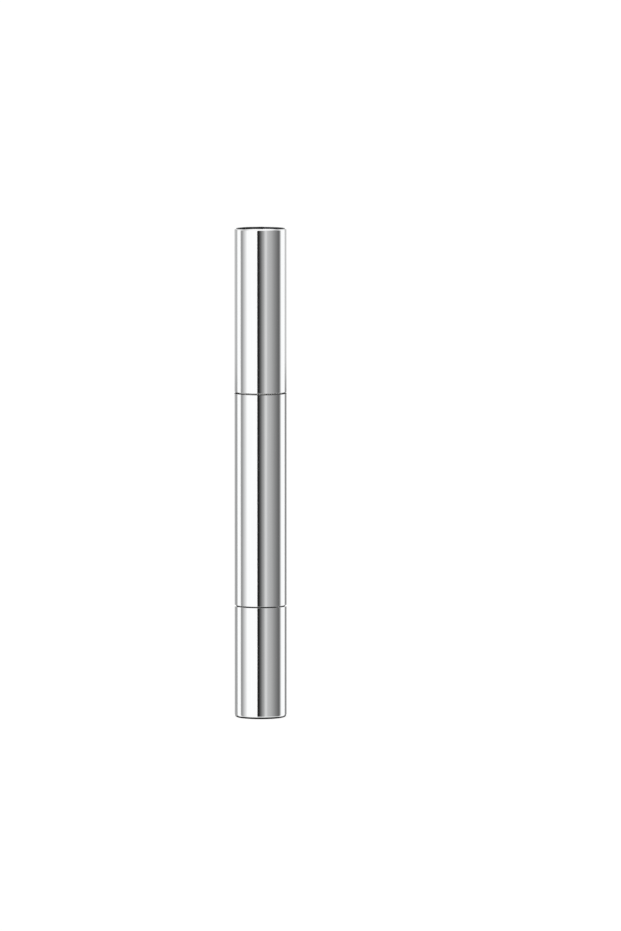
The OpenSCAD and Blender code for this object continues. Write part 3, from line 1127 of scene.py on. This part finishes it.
# What the pen mirrors: each card gives one of the lengthwise stripes, and white ones the bright fields.
CARDS = (
    Card("white_left", ((-60, WHITE), (-14.2, WHITE))),
    Card(
        "black_flag",
        ((-14.2, BLACK), (-8, BLACK), (-1, "#555555"), (8, "#909090"), (13, "#A0A0A0")),
    ),
    Card(
        "grey_wall",
        ((13, "#A0A0A0"), (21, "#D2D2D2"), (27, "#D2D2D2"), (31, "#BEBEBE"), (50, "#A8A8A8")),
    ),
    Card("grey_side", ((50, "#A8A8A8"), (85, "#666666"), (90, "#666666"), (104, WHITE))),
    Card("white_right", ((104, WHITE), (132.5, WHITE))),
    Card("grey_right_back", ((132.5, "#8E8E8E"), (162.5, "#8E8E8E")), 0.56),
    Card("white_back", ((162.5, WHITE), (197.5, WHITE))),
    Card(
        "grey_left_back",
        ((197.5, "#AAAAAA"), (216, "#AEAEAE"), (227, "#9E9E9E"), (237.5, "#989898")),
        0.27,
    ),
    Card("white_left_back", ((237.5, WHITE), (262.3, WHITE))),
    Card("grey_left", ((262.3, "#9C9C9C"), (274, "#9C9C9C"), (279, "#BABABA"), (300, WHITE))),
)


@dataclass
class Studio:
    """Plain pale floor, soft even light, reflection cards and the camera."""

    # The ring of cards: its levels, how far all but the top two are faded, what black and white fade to.
    ring_r: float = 0.5
    ring_levels: tuple[float, ...] = (-1.2, -0.31, -0.19, 0.040, 0.0494, 0.8)
    ring_fade: tuple[float, ...] = (1.0, 1.0, 0.0, 0.0)
    fade_tones: Pair = (0.7, 0.95)
    # The share of light that polished metal gives back; cards make up for it, so that white shows as white.
    mirror_share: float = 0.91
    # The round cards below the pen: a pale one as the table, and a dark one right under the foot,
    # a painted contact shadow that only reflections see.
    table_tone: float = 0.5
    contact_r: float = 0.0071
    contact_level: float = -0.003
    low_sides: int = 48
    # The world's strength away from its bright side and towards it.
    world_levels: Pair = (0.5, 1.12)
    world_side: Triple = (-0.55, -0.8, 0.0)
    # The soft lamp.
    key_watts: float = 3.2
    key_size: Pair = (0.8, 1.0)
    key_place: Triple = (-1.0, -0.8, 0.7)
    key_target: Triple = (0.0, 0.0, 0.06)
    # The floor: its glow and the shadowed share of its paper come to white for the camera.
    floor_size: float = 12.0
    floor_level: float = 1.075
    floor_paper: str = "#F5F5F4"
    shadow_share: float = 0.16
    # The camera.
    lens: float = 500.0
    sensor: float = 36.0
    clip: Pair = (0.1, 40.0)
    distance: float = 3.204
    elevation: float = 5.0
    target: Triple = (0.01237, 0.0, 0.0626)

    def build(self) -> None:
        """Builds the studio."""
        bpy.context.scene.view_settings.view_transform = "Standard"
        self.world()
        self.floor()
        for card in CARDS:
            self.card(card)
        self.low_card("card_table", self.ring_r, self.ring_levels[0], self.faded(self.table_tone, 1))
        # A black disc under the foot: painted contact shadow, seen only in reflections.
        self.low_card("card_contact_shadow", self.contact_r, self.contact_level, linear(BLACK)[0])
        self.key_light()
        self.camera()

    def stage_piece(self, name: str, points: list, faces: list, material: Material) -> Object:
        """Adds a mesh for the studio, which rides on no body of the pen.

        Args:
            name: The piece's name.
            points: Its points in metres.
            faces: Its faces as numbers of points.
            material: Its material.

        Returns:
            The new stage piece.
        """
        mesh = bpy.data.meshes.new(name)
        mesh.from_pydata(points, [], faces)
        mesh.materials.append(material)
        piece = add_object(name, mesh)
        return piece

    def only_reflected(self, piece: Object) -> None:
        """Lets only reflections see a stage piece."""
        for ray in ("camera", "diffuse", "transmission", "volume_scatter", "shadow"):
            setattr(piece, f"visible_{ray}", False)

    def glow(self, name: str, strength: float | None = None) -> Material:
        """Makes a glowing material, of one strength or of the mesh's own tone.

        Args:
            name: The material's name.
            strength: The strength, or None to read the mesh's tone.

        Returns:
            The material.
        """
        made = bpy.data.materials.new(name)
        made.cycles.emission_sampling = "NONE"
        tree = bare_tree(made)
        if strength is None:
            tone = add_node(tree, "ShaderNodeAttribute", {"attribute_name": "tone"})
            strength = tone.outputs["Fac"]
        shader = add_node(tree, "ShaderNodeEmission", inputs={"Strength": strength})
        add_node(tree, "ShaderNodeOutputMaterial", inputs={"Surface": shader.outputs[0]})
        return made

    def faded(self, tone: float, fade: float) -> float:
        """Gives a card's glow where its tone is faded towards pale paper, from 0 not at all to 1 wholly."""
        dark, light = self.fade_tones
        return (tone + (dark + (light - dark) * tone - tone) * fade) / self.mirror_share

    def card(self, card: Card) -> None:
        """Stands a card on the ring; its foot fades to pale paper, as a table would in the reflections.

        Args:
            card: The card.
        """
        points, faces, tones = [], [], []
        rows = len(self.ring_levels)
        fades = (*self.ring_fade, card.top_fade, card.top_fade)
        for angle, tone in card.columns():
            a = radians(angle)
            for z, fade in zip(self.ring_levels, fades):
                points.append((self.ring_r * sin(a), -self.ring_r * cos(a), z))
                tones.append(self.faded(tone, fade))
        for k in range(0, len(points) - rows, rows):
            faces += [(j, rows + j, rows + j + 1, j + 1) for j in range(k, k + rows - 1)]
        glow = bpy.data.materials.get("card tone") or self.glow("card tone")
        piece = self.stage_piece(f"card_{card.name}", points, faces, glow)
        piece.data.attributes.new("tone", "FLOAT", "POINT").data.foreach_set("value", tones)
        self.only_reflected(piece)

    def low_card(self, name: str, radius: float, level: float, strength: float) -> None:
        """Lays a round card below the pen, which only reflections see.

        Args:
            name: The card's name.
            radius: Its radius in metres.
            level: Its height in metres.
            strength: The strength of its glow.
        """
        turns = [2 * pi * k / self.low_sides for k in range(self.low_sides)]
        points = [(radius * cos(a), radius * sin(a), level) for a in turns]
        face = tuple(range(self.low_sides))
        self.only_reflected(self.stage_piece(name, points, [face], self.glow(name, strength)))

    def world(self) -> None:
        """Lights the pen softly, more from the front and left; camera and metal see the world as white."""
        world = bpy.data.worlds.new("soft white studio")
        tree = bare_tree(world)
        seen = self.seen_directly(tree)
        way = add_node(tree, "ShaderNodeTexCoord").outputs["Generated"]
        ways = {0: way, 1: Vector(self.world_side).normalized()}
        along = add_node(tree, "ShaderNodeVectorMath", {"operation": "DOT_PRODUCT"}, ways)
        span = dict(enumerate((along.outputs["Value"], -1.0, 1.0, *self.world_levels)))
        soft = add_node(tree, "ShaderNodeMapRange", inputs=span).outputs[0]
        level = add_node(tree, "ShaderNodeMapRange", inputs={0: seen, 3: soft, 4: 1.0}).outputs[0]
        light = {"Color": linear(WHITE), "Strength": level}
        shader = add_node(tree, "ShaderNodeBackground", inputs=light)
        add_node(tree, "ShaderNodeOutputWorld", inputs={"Surface": shader.outputs[0]})
        bpy.context.scene.world = world

    def seen_directly(self, tree: NodeTree) -> NodeSocket:
        """Adds nodes that tell camera, mirror and see-through rays from the rest.

        Args:
            tree: The node tree.

        Returns:
            1 for those rays, and 0 for others.
        """
        path = add_node(tree, "ShaderNodeLightPath").outputs
        seen = path["Is Camera Ray"]
        for kind in ("Is Glossy Ray", "Is Transmission Ray"):
            adding = {"operation": "ADD", "use_clamp": True}
            seen = add_node(tree, "ShaderNodeMath", adding, {0: seen, 1: path[kind]}).outputs[0]
        return seen

    def floor(self) -> None:
        """Lays a pale floor that shows as white, with the pen's faint shadow."""
        made = bpy.data.materials.new("floor paper")
        tree = bare_tree(made)
        parts = {0: self.seen_directly(tree), 1: 1 - self.shadow_share}
        share = add_node(tree, "ShaderNodeMath", {"operation": "MULTIPLY"}, parts)
        paper = add_node(tree, "ShaderNodeBsdfDiffuse", inputs={"Color": linear(self.floor_paper)})
        light = {"Color": linear(WHITE), "Strength": self.floor_level}
        white = add_node(tree, "ShaderNodeEmission", inputs=light)
        mix = {k: node.outputs[0] for k, node in enumerate((share, paper, white))}
        mixed = add_node(tree, "ShaderNodeMixShader", inputs=mix)
        add_node(tree, "ShaderNodeOutputMaterial", inputs={"Surface": mixed.outputs[0]})
        made.cycles.emission_sampling = "NONE"
        half = self.floor_size / 2
        points = [(-half, -half, 0), (half, -half, 0), (half, half, 0), (-half, half, 0)]
        piece = self.stage_piece("floor", points, [(0, 1, 2, 3)], made)
        piece.visible_glossy = False

    def aim(self, piece: Object, target: Vector) -> None:
        """Turns a lamp or the camera towards a point."""
        piece.rotation_mode = "QUATERNION"
        piece.rotation_quaternion = (target - piece.location).to_track_quat("-Z", "Y")

    def key_light(self) -> None:
        """Hangs a large soft lamp at the left, which shades round plastic a little darker on its right."""
        lamp = bpy.data.lights.new("key", "AREA")
        lamp.shape, lamp.energy = "RECTANGLE", self.key_watts
        lamp.size, lamp.size_y = self.key_size
        piece = add_object("key", lamp)
        piece.location = self.key_place
        piece.visible_glossy = False
        self.aim(piece, Vector(self.key_target))

    def camera(self) -> None:
        """Sets the camera at the photograph's angle and framing."""
        data = bpy.data.cameras.new("camera")
        data.lens, data.sensor_width, data.sensor_fit = self.lens, self.sensor, "AUTO"
        data.clip_start, data.clip_end = self.clip
        camera = add_object("camera", data)
        e = radians(self.elevation)
        target = Vector(self.target)
        camera.location = target + Vector((0, -cos(e), sin(e))) * self.distance
        self.aim(camera, target)
        bpy.context.scene.camera = camera


def main() -> None:
    """Builds the studio and each sub-assembly in turn, and reports its pieces."""
    logging.basicConfig(level=logging.INFO, format="%(name)s: %(message)s")
    Studio().build()
    for assembly in (KnobAssembly(), BarrelAssembly(), FeedMechanism(), BrushHead(), CapAssembly()):
        for piece in assembly.build():
            LOG.info("%s: %s with %d faces", type(assembly).__name__, piece.name, len(piece.data.polygons))


if __name__ == "__main__":
    main()
